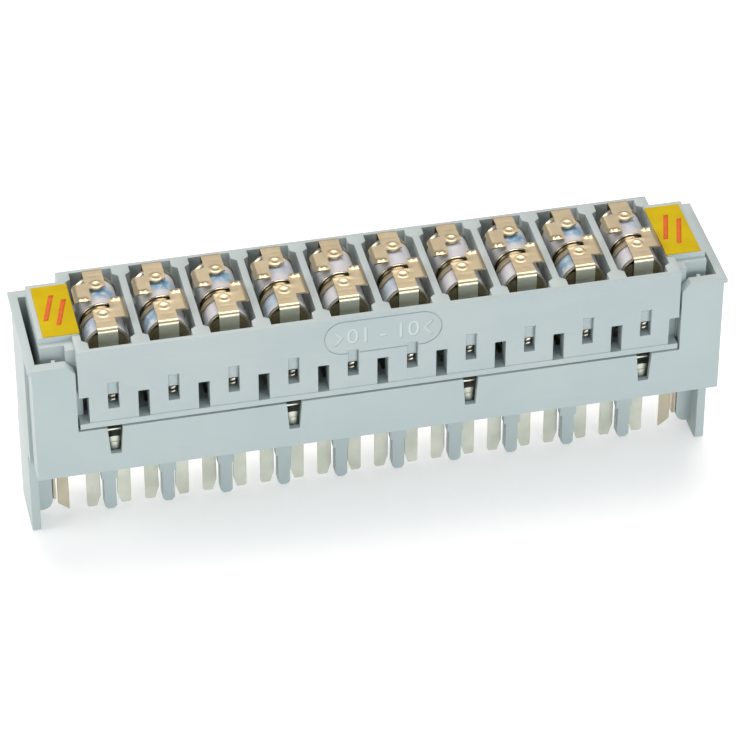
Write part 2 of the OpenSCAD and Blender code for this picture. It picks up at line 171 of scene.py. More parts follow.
for lamp_values in LAMPS:
    soft_lamp(*lamp_values)


# %% [markdown]
# ## Floor
# One pale sheet lies level with the leg tips. A little glow, seen only by the camera and by
# shiny metal, makes it white to them, and it still takes the soft shadow of the row.

# %% Floor material
FLOOR_COLOUR, FLOOR_GLOW = (0.9, 0.9, 0.9, 1), 0.38
floor_mat = bpy.data.materials.new("floor_white")
floor_mat.use_nodes = True
ft = floor_mat.node_tree
ft.nodes.clear()
f_out = ft.nodes.new("ShaderNodeOutputMaterial")
f_diff = ft.nodes.new("ShaderNodeBsdfDiffuse")
f_diff.inputs["Color"].default_value = FLOOR_COLOUR
f_glow = ft.nodes.new("ShaderNodeEmission")
f_glow.inputs["Strength"].default_value = FLOOR_GLOW
f_add = ft.nodes.new("ShaderNodeAddShader")
f_mix = ft.nodes.new("ShaderNodeMixShader")
f_path = ft.nodes.new("ShaderNodeLightPath")
f_any = ft.nodes.new("ShaderNodeMath")
f_any.operation = "MAXIMUM"
ft.links.new(f_path.outputs["Is Camera Ray"], f_any.inputs[0])
ft.links.new(f_path.outputs["Is Glossy Ray"], f_any.inputs[1])
ft.links.new(f_diff.outputs[0], f_add.inputs[0])
ft.links.new(f_glow.outputs[0], f_add.inputs[1])
ft.links.new(f_any.outputs[0], f_mix.inputs["Fac"])
ft.links.new(f_diff.outputs[0], f_mix.inputs[1])
ft.links.new(f_add.outputs[0], f_mix.inputs[2])
ft.links.new(f_mix.outputs[0], f_out.inputs["Surface"])
print("floor glow:", FLOOR_GLOW)


# %% Floor
def mesh_piece(name, points, faces, material, smooth=True):
    """A new object at the origin from points in millimetres and a face list."""
    data = bpy.data.meshes.new(name)
    data.from_pydata((np.asarray(points, float) * MM).tolist(), [], faces)
    data.update()
    data.polygons.foreach_set("use_smooth", [smooth] * len(data.polygons))
    obj = bpy.data.objects.new(name, data)
    bpy.context.scene.collection.objects.link(obj)
    data.materials.append(material)
    return obj


# The sheet is a square round the origin, a hair below the leg tips.
FLOOR_HALF, FLOOR_Z = 4000.0, -0.02
floor = mesh_piece("floor", [(FLOOR_HALF * i, FLOOR_HALF * j, FLOOR_Z)
                             for i, j in ((-1, -1), (1, -1), (1, 1), (-1, 1))],
                   [(0, 1, 2, 3)], floor_mat, smooth=False)
floor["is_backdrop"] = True
print("floor height in mm:", FLOOR_Z)


# %% [markdown]
# ## Moulded plastic
# Both mouldings are flame-retardant polyester with a fine spark-eroded surface: satin, almost
# without gloss, with faint flow marks. Two scales of noise move the colour and roughness a
# little and a third one is the fine bump. The pattern is in Object coordinates, so it stays
# on the piece.

# %% Shader helpers
def plain_material(name):
    """A new material with only a Principled shader; returns (material, tree, shader)."""
    m = bpy.data.materials.new(name)
    m.use_nodes = True
    t = m.node_tree
    return m, t, t.nodes["Principled BSDF"]


def noise(t, scale, detail, source):
    """Fac output of a noise texture that reads the coordinates in source."""
    n = t.nodes.new("ShaderNodeTexNoise")
    n.inputs["Scale"].default_value = scale
    n.inputs["Detail"].default_value = detail
    t.links.new(source, n.inputs["Vector"])
    return n.outputs["Fac"]


def ramp(t, source, low, high, start=0.35, end=0.65):
    """Colour ramp from low to high over a noise value between start and end."""
    r = t.nodes.new("ShaderNodeValToRGB")
    r.color_ramp.elements[0].position = start
    r.color_ramp.elements[0].color = (*low, 1)
    r.color_ramp.elements[1].position = end
    r.color_ramp.elements[1].color = (*high, 1)
    t.links.new(source, r.inputs["Fac"])
    return r.outputs["Color"]


def mapped_roughness(t, shader, source, low, high):
    """Roughness that runs from low to high with the noise value in source."""
    span_map = t.nodes.new("ShaderNodeMapRange")
    span_map.inputs["To Min"].default_value = low
    span_map.inputs["To Max"].default_value = high
    t.links.new(source, span_map.inputs["Value"])
    t.links.new(span_map.outputs["Result"], shader.inputs["Roughness"])


def fine_bump(t, shader, source, strength, depth):
    """Bump of the given depth in millimetres from the noise value in source."""
    bump = t.nodes.new("ShaderNodeBump")
    bump.inputs["Strength"].default_value = strength
    bump.inputs["Distance"].default_value = depth * MM
    t.links.new(source, bump.inputs["Height"])
    t.links.new(bump.outputs["Normal"], shader.inputs["Normal"])


print("shader helpers ready")


# %% Moulded plastic
FLOW_MARKS, PATCHES, GRAIN = 60.0, 420.0, 5200.0
GRAIN_DEPTH = 0.02


def moulded(name, dark, light, rough=0.46):
    """Satin moulded plastic: cloudy colour, patchy roughness and a spark-eroded grain."""
    m, t, s = plain_material(name)
    where = t.nodes.new("ShaderNodeTexCoord").outputs["Object"]
    colour = ramp(t, noise(t, FLOW_MARKS, 3.0, where), dark, light)
    t.links.new(colour, s.inputs["Base Color"])
    mapped_roughness(t, s, noise(t, PATCHES, 3.0, where), rough - 0.05, rough + 0.06)
    fine_bump(t, s, noise(t, GRAIN, 2.0, where), 0.18, GRAIN_DEPTH)
    s.inputs["IOR"].default_value = 1.5
    s.inputs["Specular IOR Level"].default_value = 0.4
    return m


plastic_housing = moulded("plastic_housing", (0.52, 0.595, 0.6), (0.55, 0.62, 0.62))
plastic_magazine = moulded("plastic_magazine", (0.525, 0.595, 0.6), (0.555, 0.62, 0.62))
print("plastics:", plastic_housing.name, plastic_magazine.name)


# %% [markdown]
# ## The two mouldings
# The CAD nodes have sharp edges; a real mould leaves every edge slightly round. Each moulding
# is copied, its loose triangles are merged, and a Bevel modifier rounds the edges: 0.18 mm
# wide on the housing, 0.12 mm on the magazine. The copy then stands for the node.

# %% Mouldings
MERGE_M = 2e-6


def rounded_copy(node, material, slot, width, segments=2, angle=40, smooth=True):
    """Merged copy of a CAD node with its sharp edges rounded by a Bevel modifier."""
    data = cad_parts[node].data.copy()
    obj = bpy.data.objects.new(f"{node}_form", data)
    bpy.context.scene.collection.objects.link(obj)
    bm = bmesh.new()
    bm.from_mesh(data)
    bmesh.ops.remove_doubles(bm, verts=bm.verts, dist=MERGE_M)
    bmesh.ops.dissolve_limit(bm, angle_limit=math.radians(1.0), verts=bm.verts, edges=bm.edges)
    bm.to_mesh(data)
    bm.free()
    data.materials.clear()
    data.materials.append(material)
    data.polygons.foreach_set("use_smooth", [smooth] * len(data.polygons))
    bevel = obj.modifiers.new("edge_radius", "BEVEL")
    bevel.width = width * MM
    bevel.segments = segments
    bevel.limit_method = "ANGLE"
    bevel.angle_limit = math.radians(angle)
    bevel.harden_normals = smooth
    bevel.use_clamp_overlap = True
    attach(obj, "root")
    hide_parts(node)
    return obj


for node, material, slot, width in (("housing", plastic_housing, "housing_plastic", 0.18),
                                    ("magazine", plastic_magazine, "magazine_plastic", 0.12)):
    form = rounded_copy(node, material, slot, width)
    print(form.name, "vertices:", len(form.data.vertices))


# %% [markdown]
# ## Metals
# The sheet parts differ by their plating. Contacts and rail are tinned: pale, satin and a
# little uneven. The end contacts are a tan sheet, set darker than the tinned one as painted
# shade, because they stand further back and get less light. The clips are spring steel with a
# yellow chromate film, straw gold on the flat faces, with a paler grey-green on the front face
# of the fold. The electrodes are plated and nearly bright. The window springs are near black
# as painted shade for the dark inside of the windows, and their bends are a brighter metal as
# painted glints. Each metal mixes two tones by a cloud of noise, and fine noise moves its
# roughness and bump; on the tinned sheet it is stretched along the tongues, like rolling
# marks. A "shade" attribute on the points brings in a third colour: painted shade in the
# electrodes' groove and on the caps' end faces, and on the clips the paler grey-green of the
# fold's front face, held back along its crease as a line of painted shade.

# %% Metals
CLOUDS, ROLLING_MARKS = 160.0, 900.0


def metal(name, dark, light, rough, streak=(1.0, 1.0, 1.0), bump_mm=0.004, third=None):
    """Metal shader: two shades by noise, fine marks, and a third colour by "shade"."""
    m, t, s = plain_material(name)
    where = t.nodes.new("ShaderNodeTexCoord").outputs["Object"]
    mapping = t.nodes.new("ShaderNodeMapping")
    mapping.inputs["Scale"].default_value = streak
    t.links.new(where, mapping.inputs["Vector"])
    colour = ramp(t, noise(t, CLOUDS, 4.0, where), dark, light)
    if third is None:
        t.links.new(colour, s.inputs["Base Color"])
    else:
        shade = t.nodes.new("ShaderNodeAttribute")
        shade.attribute_name = "shade"
        mix = t.nodes.new("ShaderNodeMix")
        mix.data_type = "RGBA"
        t.links.new(shade.outputs["Fac"], mix.inputs["Factor"])
        t.links.new(colour, mix.inputs[6])
        mix.inputs[7].default_value = (*third, 1)
        t.links.new(mix.outputs[2], s.inputs["Base Color"])
    s.inputs["Metallic"].default_value = 1.0
    lines = noise(t, ROLLING_MARKS, 3.0, mapping.outputs["Vector"])
    mapped_roughness(t, s, lines, rough - 0.07, rough + 0.09)
    fine_bump(t, s, lines, 0.25, bump_mm)
    return m


tinned = metal("tinned_sheet", (0.6, 0.62, 0.53), (0.74, 0.75, 0.66), 0.36, streak=(1, 1, 0.15))
# End contacts: a tan sheet, set darker than the tinned one as painted shade for their place
# further back.
end_contact_tan_shade = metal("bronze_sheet", (0.5, 0.45, 0.34), (0.62, 0.56, 0.43), 0.38)
chromate = metal("yellow_chromate", (0.65, 0.54, 0.36), (0.71, 0.6, 0.41), 0.36,
                 bump_mm=0.0015, third=(0.72, 0.74, 0.64))
# The third colour is painted shade for the ring's groove and the caps' end faces.
plated = metal("electrode_plate", (0.5, 0.46, 0.34), (0.74, 0.69, 0.56), 0.24,
               third=(0.27, 0.21, 0.13))
# Painted shade and painted glints: the window springs are near black for the dark inside of the
# windows, and their bends are a brighter metal.
window_dark_shade = metal("window_spring_painted_shade", (0.05, 0.045, 0.035), (0.16, 0.14, 0.11), 0.3)
spring_painted_glint = metal("spring_painted_glint", (0.3, 0.27, 0.22), (0.62, 0.58, 0.5), 0.2)
print("metals:", [m.name for m in (tinned, end_contact_tan_shade, chromate, plated, window_dark_shade, spring_painted_glint)])


# %% [markdown]
# ## Contacts and earth parts
# The tongues, the rail and the end contacts have the right shape already. Their copies get a
# hair of edge rounding, so that each sheared edge catches a thin line of light. They are
# shaded flat, because smooth shading would make thin sheet look like round wire.

# %% Contacts
SHEARED_EDGE = {"width": 0.06, "segments": 1, "angle": 30, "smooth": False}
for node in [f"contacts_{n}" for n in PAIRS] + ["earth_rail"]:
    rounded_copy(node, tinned, "tinned_sheet", **SHEARED_EDGE)
# The end contacts take the tan sheet that is darker as painted shade.
for side in ("left", "right"):
    rounded_copy(f"end_contact_{side}", end_contact_tan_shade, "bronze_sheet", **SHEARED_EDGE)
print("contact pieces:", len(PAIRS) + 3)


# %% [markdown]
# ## Turned pieces
# Ceramic tubes and electrodes are round, so each is a profile turned about the arrester's
# axis: one parameter runs along the profile, the other round the axis. Both ends of a
# profile lie on the axis, or the profile closes on itself, so every piece is watertight.

# %% Turned surface
CAP_LOW, CAP_HIGH = span("electrodes_01")
TUBE_LOW, TUBE_HIGH = span("ceramic_01")
AXIS_Z = (CAP_LOW[2] + CAP_HIGH[2]) / 2
CAP_R = (CAP_HIGH[2] - CAP_LOW[2]) / 2
TUBE_R = (TUBE_HIGH[2] - TUBE_LOW[2]) / 2


def grid_faces(rows, columns, wrap_rows=False, wrap_columns=False):
    """Quads between neighbours of a rows x columns grid of points, numbered row by row."""
    r = np.arange(rows if wrap_rows else rows - 1)[:, None]
    c = np.arange(columns if wrap_columns else columns - 1)[None, :]
    r2, c2 = (r + 1) % rows, (c + 1) % columns
    quads = np.stack([r * columns + c, r * columns + c2, r2 * columns + c2, r2 * columns + c], -1)
    return quads.reshape(-1, 4)


def turned(x, profile, around=64):
    """Points of a profile (y, radius) turned about the arrester's axis at x.

    Point = (x + radius sin t, y, axis height + radius cos t), t from 0 to one turn.
    """
    y, r = np.asarray(profile, float).T
    t = np.linspace(0, 2 * np.pi, around, endpoint=False)
    return np.stack([x + r[:, None] * np.sin(t), y[:, None] + 0 * t,
                     AXIS_Z + r[:, None] * np.cos(t)], -1), t


print("arrester axis height in mm:", round(AXIS_Z, 2), "cap radius:", round(CAP_R, 2))


# %% Joining helpers
def joined_piece(name, blocks, material, node=None, marks=None):
    """One piece from (points, faces) blocks; doubles merged, faces turned outwards."""
    points, faces, first = [], [], 0
    for p, f in blocks:
        points.append(p.reshape(-1, 3))
        faces.append(f + first)
        first += len(points[-1])
    obj = mesh_piece(name, np.concatenate(points), np.concatenate(faces).tolist(), material)
    for key, values in (marks or {}).items():
        layer = obj.data.attributes.new(key, "FLOAT", "POINT")
        layer.data.foreach_set("value", np.asarray(values, np.float32))
    bm = bmesh.new()
    bm.from_mesh(obj.data)
    bmesh.ops.remove_doubles(bm, verts=bm.verts, dist=1e-6)
    bmesh.ops.recalc_face_normals(bm, faces=bm.faces)
    bm.to_mesh(obj.data)
    bm.free()
    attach(obj, "root")
    if node:
        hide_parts(node)
    return obj


def split_edges(obj, degrees):
    """Edge Split modifier: edges sharper than the angle stay crisp under smooth shading."""
    m = obj.modifiers.new("crisp_edges", "EDGE_SPLIT")
    m.split_angle = math.radians(degrees)


def thicken(obj, name, thickness):
    """Solidify modifier: half of the thickness in millimetres on each side of a surface."""
    m = obj.modifiers.new(name, "SOLIDIFY")
    m.thickness = thickness * MM
    m.offset = 0.0


print("joining helpers ready")

# %% [markdown]
# ## Electrodes
# The end caps are shallow pressed cups with a rolled bright rim; their end face is darker, as
# painted shade. The middle electrode is a ring with two thin flanges and a groove between them
# that is dark as painted shade. Both are set in the "shade" attribute.

# %% Electrodes
# Where the ring ends along y, and its profile as (distance from the front end, radius). The
# cap's profile is (distance inwards from the cap's end, radius). Each point has an amount of
# painted shade, from 0 for none to 1 for the dark groove and end face.
RING_REAR, RING_FRONT = -0.35, -2.45
CAP_PROFILE = [(0, 0), (0, 2.9), (0.12, 3.1), (0.1, 3.55), (-0.06, 3.8), (-0.03, 3.95),
               (0.12, 4.0), (0.3, 3.97), (0.38, 3.86), (0.75, 3.78), (0.75, 0)]
CAP_SHADE = [1, 1, 0.95, 0.8, 0.25, 0, 0, 0, 0.2, 0.5, 0.5]
RING_PROFILE = [(0, 3.7), (0, 3.96), (0.08, 4.0), (0.3, 4.0), (0.38, 3.95), (0.42, 3.62),
                (0.9, 3.5), (1.35, 3.5), (1.66, 3.62), (1.7, 3.95), (1.78, 4.0), (2.02, 4.0),
                (2.1, 3.96), (2.1, 3.7), (1.05, 3.3)]
RING_SHADE = [0.2, 0, 0, 0, 0.2, 0.9, 1, 1, 0.9, 0.2, 0, 0, 0, 0.2, 1]


def electrodes(n):
    """Two end cups and the flanged middle ring of one arrester, each a turned profile."""
    x = centre_x(f"electrodes_{n}")
    blocks, shade = [], []
    for sign in (-1, 1):
        profile = [(sign * (CAP_HIGH[1] - d), r) for d, r in CAP_PROFILE]
        p, t = turned(x, profile)
        blocks.append((p, grid_faces(len(profile), len(t), wrap_columns=True)))
        shade.append(np.repeat(CAP_SHADE, len(t)))
    profile = [(RING_FRONT + d, r) for d, r in RING_PROFILE]
    p, t = turned(x, profile)
    blocks.append((p, grid_faces(len(profile), len(t), wrap_rows=True, wrap_columns=True)))
    shade.append(np.repeat(RING_SHADE, len(t)))
    obj = joined_piece(f"electrodes_{n}_form", blocks, plated,
                       f"electrodes_{n}", {"shade": np.concatenate(shade)})
    split_edges(obj, 50)
    return obj


for n in PAIRS:
    made = electrodes(n)
print("electrodes:", len(PAIRS), "points each:", len(made.data.vertices))

# %% [markdown]
# ## Ceramic tubes
# White alumina with a faint lilac cast and a satin glaze. Some tubes carry a smudged light
# blue stamp. The stamp is a smooth patch in the angle round the tube and the place along it,
# kept in an "ink" attribute, and noise in the material breaks it up.

# %% Alumina
alumina, ct, cs = plain_material("alumina")
c_where = ct.nodes.new("ShaderNodeTexCoord").outputs["Object"]
c_white = ramp(ct, noise(ct, 240.0, 2.0, c_where), (0.72, 0.7, 0.735), (0.8, 0.785, 0.815))
c_blue = ramp(ct, noise(ct, 700.0, 3.0, c_where), (0.12, 0.33, 0.55), (0.3, 0.55, 0.72),
              0.4, 0.6)
c_ink = ct.nodes.new("ShaderNodeAttribute")
c_ink.attribute_name = "ink"
c_break = ct.nodes.new("ShaderNodeMapRange")
c_break.inputs["From Min"].default_value = 0.3
c_break.inputs["From Max"].default_value = 0.48
ct.links.new(noise(ct, 1100.0, 3.0, c_where), c_break.inputs["Value"])
c_cover = ct.nodes.new("ShaderNodeMath")
c_cover.operation = "MULTIPLY"
ct.links.new(c_ink.outputs["Fac"], c_cover.inputs[0])
ct.links.new(c_break.outputs["Result"], c_cover.inputs[1])
c_mix = ct.nodes.new("ShaderNodeMix")
c_mix.data_type = "RGBA"
ct.links.new(c_cover.outputs[0], c_mix.inputs["Factor"])
ct.links.new(c_white, c_mix.inputs[6])
ct.links.new(c_blue, c_mix.inputs[7])
ct.links.new(c_mix.outputs[2], cs.inputs["Base Color"])
cs.inputs["Roughness"].default_value = 0.3
cs.inputs["Coat Weight"].default_value = 0.35
cs.inputs["Coat Roughness"].default_value = 0.15
print("ceramic:", alumina.name)

# %% Ceramic tubes
# How strong the stamp is on the rear and the front tube of each pair, and the angle from the
# top, in radians, at which it is centred.
REAR_INK = {"01": 0.9, "02": 1.0, "03": 0.9, "04": 0.3, "05": 0.0, "06": 0.1, "07": 0.0,
            "08": 1.0, "09": 1.0, "10": 0.35}
FRONT_INK = {"01": 0.55, "02": 0.8, "04": 0.55, "06": 0.4, "09": 0.75}
REAR_STAMP_TURN, FRONT_STAMP_TURN = 0.25, -0.75
STAMP_HALF_LENGTH, STAMP_HALF_TURN = 1.7, 0.75
CHAMFER = 0.2


def tube(n):
    """Front and rear ceramic tube of one arrester, turned profiles with chamfered ends.

    Ink = amount times e to minus the fourth power of the distance from the stamp's middle,
    once along the tube and once round it, each measured in half stamps.
    """
    low, high = span(f"ceramic_{n}")
    blocks, ink = [], []
    for y0, y1, amount, middle in (
            (low[1], RING_FRONT, FRONT_INK.get(n, 0.0), FRONT_STAMP_TURN),
            (RING_REAR, high[1], REAR_INK[n], REAR_STAMP_TURN)):
        profile = [(y0, 0), (y0, TUBE_R - CHAMFER), (y0 + CHAMFER, TUBE_R)]
        profile += [(y, TUBE_R) for y in np.linspace(y0 + 0.5, y1 - 0.5, 18)]
        profile += [(y1 - CHAMFER, TUBE_R), (y1, TUBE_R - CHAMFER), (y1, 0)]
        p, t = turned(centre_x(f"ceramic_{n}"), profile, 72)
        blocks.append((p, grid_faces(len(profile), len(t), wrap_columns=True)))
        y = np.array(profile)[:, 0][:, None]
        turn = (t + np.pi) % (2 * np.pi) - np.pi
        along = np.exp(-(((y - (y0 + y1) / 2) / STAMP_HALF_LENGTH) ** 4))
        across = np.exp(-(((turn[None, :] - middle) / STAMP_HALF_TURN) ** 4))
        ink.append((amount * along * across).ravel())
    return joined_piece(f"ceramic_{n}_form", blocks, alumina, f"ceramic_{n}",
                        {"ink": np.concatenate(ink)})


for n in PAIRS:
    made = tube(n)
    split_edges(made, 30)
print("tubes:", 2 * len(PAIRS), "points each pair:", len(made.data.vertices))

# %% [markdown]
# ## Clips
# A clip is one pressing of thin spring steel: two strips with a round boss each, two side
# tabs with two pips at the end, a fold at the front, and a narrow arm round the ring. The
# flat blank is a union of rounded rectangles, given by its signed distance. A fine grid keeps
# the cells inside the blank, and its edge points are slid onto the outline along the
# distance's gradient. Height is a sum of bumps and curls, and the length is then carried
# round the front and rear bends. Solidify gives it the sheet's thickness.

# %% Clip outline
# x runs across the clip and s along it, both from the middle of the cell.
SHEET = 0.3
STRIP_HALF = 1.75
TAB_EDGE = 4.15
TOP = AXIS_Z + CAP_R + 0.22
FOLD = span("clip_01")[0][1] + SHEET / 2
REAR = span("clip_01")[1][1] - SHEET / 2


def rounded_rect(x, s, x0, x1, s0, s1, r):
    """Signed distance to a rectangle with corner radius r; negative inside."""
    dx = np.abs(x - (x0 + x1) / 2) - (x1 - x0) / 2 + r
    ds = np.abs(s - (s0 + s1) / 2) - (s1 - s0) / 2 + r
    outside = np.hypot(np.maximum(dx, 0), np.maximum(ds, 0))
    return outside + np.minimum(np.maximum(dx, ds), 0) - r


def blank(x, s):
    """Signed distance of the flat clip: the smallest of the distances to its shapes.

    Rear half: strip, side tab, the bridge between them and the round boss end. Front half:
    strip, side tab, bridge and the arm over the ring.
    """
    shapes = [rounded_rect(x, s, -STRIP_HALF, STRIP_HALF, 3.9, REAR + 1.6, 0.3),
              rounded_rect(x, s, -TAB_EDGE, -1.3, 0.15, 5.25, 0.6),
              rounded_rect(x, s, -TAB_EDGE, 1.2, 3.7, 5.25, 0.5),
              np.hypot(x, s - 4.55) - 1.25,
              rounded_rect(x, s, -STRIP_HALF, STRIP_HALF, FOLD - 6.2, -2.65, 0.25),
              rounded_rect(x, s, 1.45, TAB_EDGE, -5.5, 0.35, 0.6),
              rounded_rect(x, s, -STRIP_HALF, TAB_EDGE, -5.3, -2.65, 0.35),
              rounded_rect(x, s, -3.9, 0.0, -3.35, -2.65, 0.2)]
    return np.min(shapes, axis=0)


print("clip top in mm:", round(TOP, 2), "from", round(FOLD, 2), "to", round(REAR, 2))


# %% Clip relief
def relief(x, s):
    """Height over the flat sheet: a sum of bells, rims and curls.

    A boss is a ring-shaped bell less a small bell at its middle, and a pip is one bell. The
    tab edges curl down as a circle of radius 0.85, the arm follows a circle round the ring,
    two creases cross the strips, and the strip bows up next to the ring.
    """
    h = np.zeros_like(x)
    for boss_x, boss_s in ((0.15, 4.75), (0.0, -4.1)):
        d = np.hypot(x - boss_x, s - boss_s)
        h += 0.075 * np.exp(-(((d - 0.8) / 0.2) ** 2)) - 0.06 * np.exp(-((d / 0.4) ** 2))
    for pip_x, pip_s in ((-3.3, 0.75), (-2.4, 0.75), (2.4, -0.25), (3.3, -0.25)):
        h += 0.24 * np.exp(-((np.hypot(x - pip_x, s - pip_s) / 0.34) ** 2))
    side = np.clip(np.abs(x) - 3.35, 0, None)
    h -= 0.85 - np.sqrt(np.clip(0.85 ** 2 - side ** 2, 0.04, None))
    arm = (x < -STRIP_HALF) & (s < -2.3)
    h = np.where(arm, np.sqrt(np.clip(4.05 ** 2 - x ** 2, 0, None)) - 4.05 - 0.1, h)
    for crease_s in (7.3, -6.4):
        h -= 0.012 * np.exp(-(((s - crease_s) / 0.16) ** 2)) * (np.abs(x) < STRIP_HALF)
    bow = np.exp(-((x / 1.6) ** 2)) * np.exp(-(((s + 2.65) / 0.7) ** 2))
    return h + 0.12 * bow


def bent(s, h, r=0.55):
    """(y, z) of the sheet at length s and height h, carried round both bends.

    Between the bends y = s and z = h. In a bend of radius r the sheet turns by length over
    r, so y moves by (r + h) times the sine and z drops by (r + h) times one less the cosine.
    Past a quarter turn the rest of the length goes straight down.
    """
    front, rear = FOLD + r, REAR - r
    a = np.clip((front - s) / r, 0, np.pi / 2)
    down = np.clip(front - s - r * np.pi / 2, 0, None)
    b = np.clip((s - rear) / r, 0, np.pi / 2)
    drop = np.clip(s - rear - r * np.pi / 2, 0, None)
    y = np.clip(s, front, rear) - (r + h) * np.sin(a) + (r + h) * np.sin(b)
    z = -(r + h) * (1 - np.cos(a)) - (r + h) * (1 - np.cos(b)) - down - drop + h
    return y, z


print("boss height in mm:", round(float(relief(np.array([0.8]), np.array([-4.1]))[0]), 3))


# %% Clip grid
def clip_blank(step=0.17):
    """Grid points and quads of the flat clip with the edge points on the outline.

    A cell stays if its middle lies inside the blank. A point with fewer than four cells is
    an edge point, and moves four times by its distance against the distance's gradient.
    """
    gx = np.arange(-4.5, 4.5 + step, step)
    gs = np.arange(FOLD - 7.0, REAR + 2.4, step)
    x, s = np.meshgrid(gx, gs, indexing="ij")
    quads = grid_faces(len(gx), len(gs))
    mid_x, mid_s = x.ravel()[quads].mean(1), s.ravel()[quads].mean(1)
    quads = quads[blank(mid_x, mid_s) < -0.25 * step]
    used, quads = np.unique(quads, return_inverse=True)
    quads = quads.reshape(-1, 4)
    x, s = x.ravel()[used], s.ravel()[used]
    edge = np.bincount(quads.ravel(), minlength=len(x)) < 4
    e = 1e-3
    for _ in range(4):
        move = np.clip(blank(x, s), -step, step)
        slope_x = (blank(x + e, s) - blank(x - e, s)) / (2 * e)
        slope_s = (blank(x, s + e) - blank(x, s - e)) / (2 * e)
        x = np.where(edge, x - move * slope_x, x)
        s = np.where(edge, s - move * slope_s, s)
    return x, s, quads


blank_x, blank_s, blank_quads = clip_blank()
print("clip grid points:", len(blank_x), "quads:", len(blank_quads))

# %% Clips
blank_y, blank_z = bent(blank_s, relief(blank_x, blank_s))
# The front face of the fold is paler grey-green; along its crease the pale colour is held back, a
# line of painted shade.
fold_face = 0.85 / (1 + np.exp((blank_s - FOLD + 0.2) / 0.12))
crease_shade_line = 0.5 * np.exp(-(((blank_s - (FOLD - 2.4)) / 0.14) ** 2))


def clip(n):
    """One clip: the blank moved over its arrester and given the sheet's thickness."""
    x = centre_x(f"electrodes_{n}")
    points = np.stack([x + blank_x, blank_y, TOP + blank_z], -1)
    obj = joined_piece(f"clip_{n}_form", [(points, blank_quads[:, ::-1])], chromate,
                       f"clip_{n}",
                       {"shade": np.clip(fold_face - crease_shade_line, 0, 1)})
    thicken(obj, "sheet_thickness", SHEET)
    split_edges(obj, 55)
    return obj


for n in PAIRS:
    made = clip(n)
print("clips:", len(PAIRS), "points each:", len(made.data.vertices))

# %% [markdown]
# ## Window springs
# Behind each window in the long walls sits the bent end of a contact spring. It is a strip,
# near black as painted shade for the dark inside of the window, with two bends of a brighter
# metal as painted glints, each a part of a circle carried along the width of the window.
# A plate of the same plastic closes the wall above the spring.

# %% Window springs
WALL_Y = span("magazine")[1][1]
WINDOW_Z = span("magazine")[0][2] + 3.72
BENDS = ((1.7, 0.34), (0.8, 0.26))


def window_strip(x0, face):
    """Wavy strip; its depth behind the wall is 2.3 + 0.35 sin(9 w) - 0.25 w, w up its height."""
    x, w = np.meshgrid(np.linspace(-0.82, 0.82, 7), np.linspace(0, 1, 17), indexing="ij")
    depth = 2.3 + 0.35 * np.sin(w * 9.0) - 0.25 * w
    return np.stack([x0 + x, face * (WALL_Y - depth), WINDOW_Z + 2.7 * w], -1), grid_faces(7, 17)


def window_plate(x0, face):
    """Flat upright plate 1.05 behind the wall, from 2.55 to 5.45 over the window's foot."""
    x, w = np.meshgrid(np.linspace(-1.03, 1.03, 5), np.linspace(0, 1, 9), indexing="ij")
    points = np.stack([x0 + x, face * (WALL_Y - 1.05 + 0 * w), WINDOW_Z + 2.55 + 2.9 * w], -1)
    return points, grid_faces(5, 9)


def spring_bend(x0, face, height, radius):
    """Part of a circle from -0.7 to 2.6 radians, carried along x and rising a little with it."""
    a, x = np.meshgrid(np.linspace(-0.7, 2.6, 15), np.linspace(-0.5, 0.62, 4), indexing="ij")
    points = np.stack([x0 + x, face * (WALL_Y - 1.75 + radius * np.cos(a)),
                       WINDOW_Z + height + radius * np.sin(a) + 0.15 * x], -1)
    return points, grid_faces(15, 4)


# Each spring is near black as painted shade, and its two bends are painted glints.
for n in PAIRS:
    x0 = centre_x(f"electrodes_{n}")
    for face, where in ((-1, "front"), (1, "rear")):
        spring = joined_piece(f"window_spring_{where}_{n}", [window_strip(x0, face)],
                              window_dark_shade)
        thicken(spring, "sheet_thickness", 0.2)
        plate = joined_piece(f"window_baffle_{where}_{n}", [window_plate(x0, face)],
                             plastic_magazine)
        thicken(plate, "wall_thickness", 0.3)
        for k, (height, radius) in enumerate(BENDS):
            hook = joined_piece(f"spring_hook_{where}_{n}_{k}",
                                [spring_bend(x0, face, height, radius)],
                                spring_painted_glint)
            thicken(hook, "sheet_thickness", 0.16)
print("window springs:", 2 * len(PAIRS))

# %% [markdown]
# ## Rail tabs
# A bright tab of the earth rail stands behind each of the four notches in the front sill,
# with the edge of the rail's upper flange above it. The tab is a plate with a rounded top,
# bowed in depth; the flange edge is a narrow strip.

# %% Rail tabs
NOTCHES = [PAIRS[i] for i in (0, 3, 6, 9)]
TAB_HALF, TAB_HEIGHT = 1.3, 3.5
rail_low = span("earth_rail")[0]


def rail_tab(x0):
    """Plate whose top falls as a flat ellipse and whose sides bow back with the square of u."""
    u, v = np.meshgrid(np.linspace(-1, 1, 13), np.linspace(0, 1, 9), indexing="ij")
    crown = TAB_HEIGHT - 0.9 * (1 - np.sqrt(1 - 0.9 * u ** 2))
    return np.stack([x0 + TAB_HALF * u, rail_low[1] + 0.22 + 0.3 * u ** 2 + 0.15 * (1 - v),
                     rail_low[2] + 0.1 + crown * v], -1)


def flange_edge(x0):
    """Narrow strip above the tab that slopes down by 0.1 over its depth of 0.35."""
    u, v = np.meshgrid(np.linspace(-1, 1, 13), np.linspace(0, 1, 9), indexing="ij")
    return np.stack([x0 + 1.5 * u, rail_low[1] + 1.25 + 0.35 * v,
                     rail_low[2] + 4.2 - 0.1 * v], -1)


